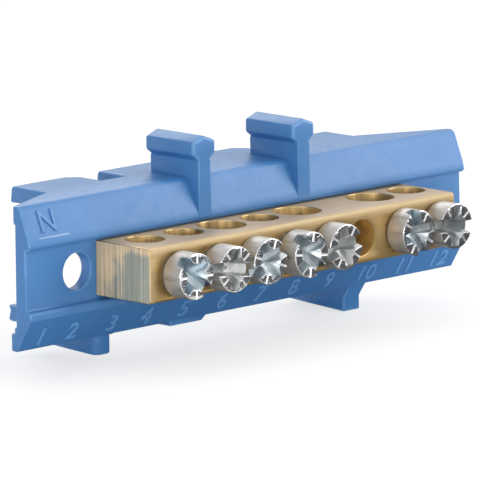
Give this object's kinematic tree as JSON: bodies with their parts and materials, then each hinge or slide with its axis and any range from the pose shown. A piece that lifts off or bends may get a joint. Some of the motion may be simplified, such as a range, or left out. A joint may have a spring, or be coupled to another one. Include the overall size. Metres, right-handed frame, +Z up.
{
  "type": "neutral terminal block",
  "caption": "Blue moulded carrier that snaps over a flat rail and holds a drilled brass bar, with cross-slotted clamp screws in its front that grip wires pushed in from above.",
  "frame": {"origin": "midway between the two fixing holes, on the rear face of the carrier's wall", "axes": "+X along the bar to the right, +Z up towards the finger clips, the screw heads face -Y"},
  "size_m": [0.0756, 0.026, 0.0262],
  "materials": {
    "blue_plastic": "satin moulding",
    "brass": "drawn, sawn at the ends",
    "zinc": "bright zinc plating"
  },
  "bodies": {
    "block": {"carrier": "blue_plastic", "terminal_bar": "brass"},
    "screw_1": {"clamp_screw_1": "zinc"},
    "screw_2": {"clamp_screw_2": "zinc"},
    "screw_3": {"clamp_screw_3": "zinc"},
    "screw_4": {"clamp_screw_4": "zinc"},
    "screw_5": {"clamp_screw_5": "zinc"},
    "screw_6": {"clamp_screw_6": "zinc"},
    "screw_7": {"clamp_screw_7": "zinc"}
  },
  "joints": [
    {"name": "screw_1_travel", "type": "slide", "parent": "block", "child": "screw_1", "axis": [0, -1, 0], "range_m": [-0.0004, 0.0045]},
    {"name": "screw_2_travel", "type": "slide", "parent": "block", "child": "screw_2", "axis": [0, -1, 0], "range_m": [-0.00055, 0.0045]},
    {"name": "screw_3_travel", "type": "slide", "parent": "block", "child": "screw_3", "axis": [0, -1, 0], "range_m": [0, 0.0045]},
    {"name": "screw_4_travel", "type": "slide", "parent": "block", "child": "screw_4", "axis": [0, -1, 0], "range_m": [-0.00055, 0.0045]},
    {"name": "screw_5_travel", "type": "slide", "parent": "block", "child": "screw_5", "axis": [0, -1, 0], "range_m": [-0.0001, 0.0045]},
    {"name": "screw_6_travel", "type": "slide", "parent": "block", "child": "screw_6", "axis": [0, -1, 0], "range_m": [-0.00005, 0.0045]},
    {"name": "screw_7_travel", "type": "slide", "parent": "block", "child": "screw_7", "axis": [0, -1, 0], "range_m": [-0.00025, 0.0045]}
  ]
}
